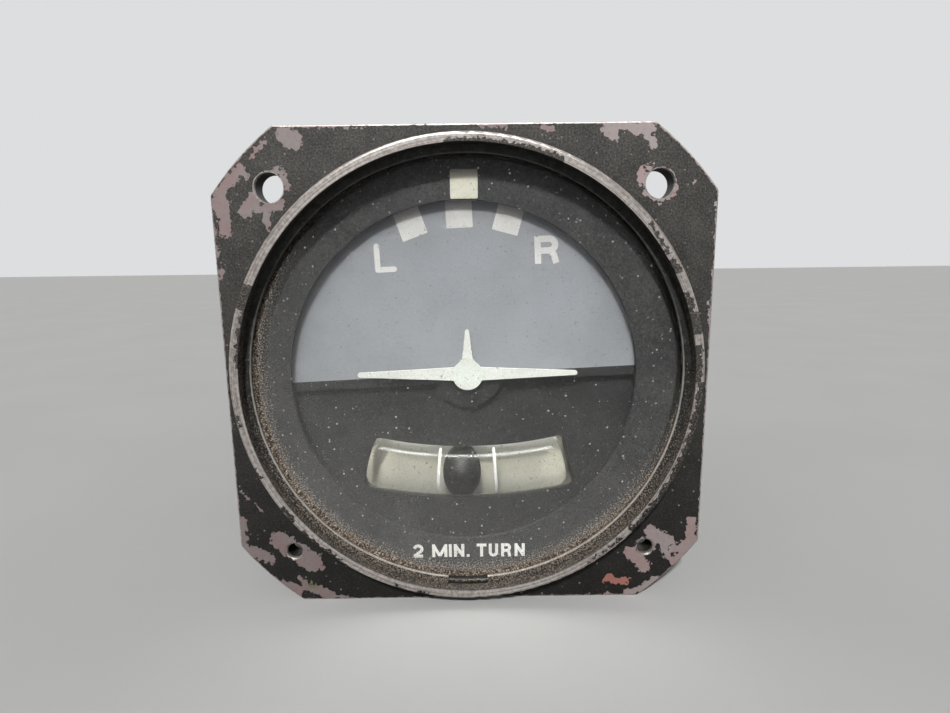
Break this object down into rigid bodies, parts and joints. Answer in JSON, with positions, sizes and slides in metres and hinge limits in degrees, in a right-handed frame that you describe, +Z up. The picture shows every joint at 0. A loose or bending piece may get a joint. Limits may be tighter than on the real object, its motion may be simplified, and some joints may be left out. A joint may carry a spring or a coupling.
{
  "type": "turn and slip indicator",
  "caption": "Round panel instrument on a square flange: a gyroscope banks a half disc behind a fixed aeroplane, above a curved tube with a rolling ball",
  "frame": {"origin": "middle of the flange's front face, on the dial's axis, where the panel seats", "axes": "+X to the pilot's right, +Y into the instrument away from the pilot, +Z up"},
  "size_m": [0.0818, 0.1316, 0.0818],
  "materials": {
    "charcoal_paint": "fine grained stove enamel, worn at the edges",
    "blackened_steel": "blackened spring steel",
    "clear_glass": "clear",
    "black_rubber": "matt",
    "black_paint": "matt black",
    "white_paint": "matt white",
    "sky_paint": "matt grey above a black edge",
    "cream_paint": "cream",
    "brass": "turned",
    "rotor_brass": "turned heavy alloy",
    "steel": "ground",
    "aluminium": "machined",
    "plated_shell": "olive plating",
    "copper": "enamelled copper wire",
    "magnet": "cast magnet alloy",
    "carbon": "pressed carbon",
    "phenolic": "laminated board",
    "black_ball": "polished black",
    "insert_plastic": "moulded",
    "gold_contact": "gold plated",
    "lead_sleeve": "woven sleeve over copper wire"
  },
  "bodies": {
    "base": {"case": "charcoal_paint", "snap_ring": "blackened_steel", "window_glass": "clear_glass", "glass_gasket": "black_rubber", "dial_mask": "black_paint", "aircraft_symbol": "white_paint", "symbol_stud": "clear_glass", "ground_plate": "black_paint", "dial_posts": "brass", "dial_bearings": "brass", "inclinometer_tube": "clear_glass", "tube_index_lines": "white_paint", "tube_end_pads": "black_rubber", "tube_cradle": "cream_paint", "front_plate": "aluminium", "rear_plate": "aluminium", "frame_posts": "steel", "post_nuts": "steel", "pivot_bridge": "aluminium", "bridge_posts": "brass", "mechanism_screws": "steel", "idler_bearings": "brass", "pivot_bearings": "brass", "damper_cylinder": "aluminium", "damper_bracket": "aluminium", "centring_spring": "steel", "spring_anchor": "brass", "stop_pins": "steel", "terminal_board": "phenolic", "filter_capacitor": "aluminium", "rear_cover": "charcoal_paint", "cover_gasket": "black_rubber", "data_plate": "aluminium", "receptacle_shell": "plated_shell", "receptacle_insert": "insert_plastic", "contact_pins": "gold_contact", "cover_screws": "steel", "board_leads": "lead_sleeve", "gimbal_leads": "lead_sleeve"},
    "dial": {"horizon_disc": "sky_paint", "dial_hub": "brass", "dial_shaft": "steel", "dial_counterweight": "brass", "dial_gear": "brass"},
    "idler": {"idler_shaft": "steel", "idler_wheel": "brass", "idler_pinion": "brass"},
    "gimbal": {"gimbal": "aluminium", "gimbal_pins": "steel", "sector_gear": "brass", "field_magnet": "magnet", "brushes": "carbon", "brush_holder": "phenolic", "rotor_bearings": "steel"},
    "rotor": {"rotor": "rotor_brass", "rotor_axle": "steel", "rotor_winding": "copper", "commutator": "copper"},
    "damper": {"damper_piston": "steel"},
    "ball": {"slip_ball": "black_ball"}
  },
  "joints": [
    {"name": "gimbal_tilt", "type": "hinge", "parent": "base", "child": "gimbal", "pos_m": [0, 0.057, 0], "axis": [0, 1, 0], "range_deg": [-8.3, 8.3], "stiffness_Nm_per_rad": 0.05, "deforming": ["centring_spring", "gimbal_leads"]},
    {"name": "rotor_spin", "type": "hinge", "parent": "gimbal", "child": "rotor", "pos_m": [0, 0.057, 0], "axis": [1, 0, 0], "continuous": true},
    {"name": "idler_turn", "type": "hinge", "parent": "base", "child": "idler", "pos_m": [0, 0.021, -0.02], "axis": [0, 1, 0], "range_deg": [-25, 25]},
    {"name": "dial_turn", "type": "hinge", "parent": "base", "child": "dial", "pos_m": [0, 0.021, 0], "axis": [0, 1, 0], "range_deg": [-25, 25]},
    {"name": "damper_slide", "type": "slide", "parent": "base", "child": "damper", "axis": [0, 0, 1], "range_m": [-0.0035, 0.0035]},
    {"name": "ball_roll", "type": "hinge", "parent": "base", "child": "ball", "pos_m": [0, 0.0073, 0.0603], "axis": [0, -1, 0], "range_deg": [-9, 10.9]}
  ],
  "couplings": [
    {"joint": "idler_turn", "follows": "gimbal_tilt", "ratio": -3},
    {"joint": "dial_turn", "follows": "gimbal_tilt", "ratio": 3},
    {"joint": "damper_slide", "follows": "gimbal_tilt", "m_per_rad": -0.024}
  ]
}
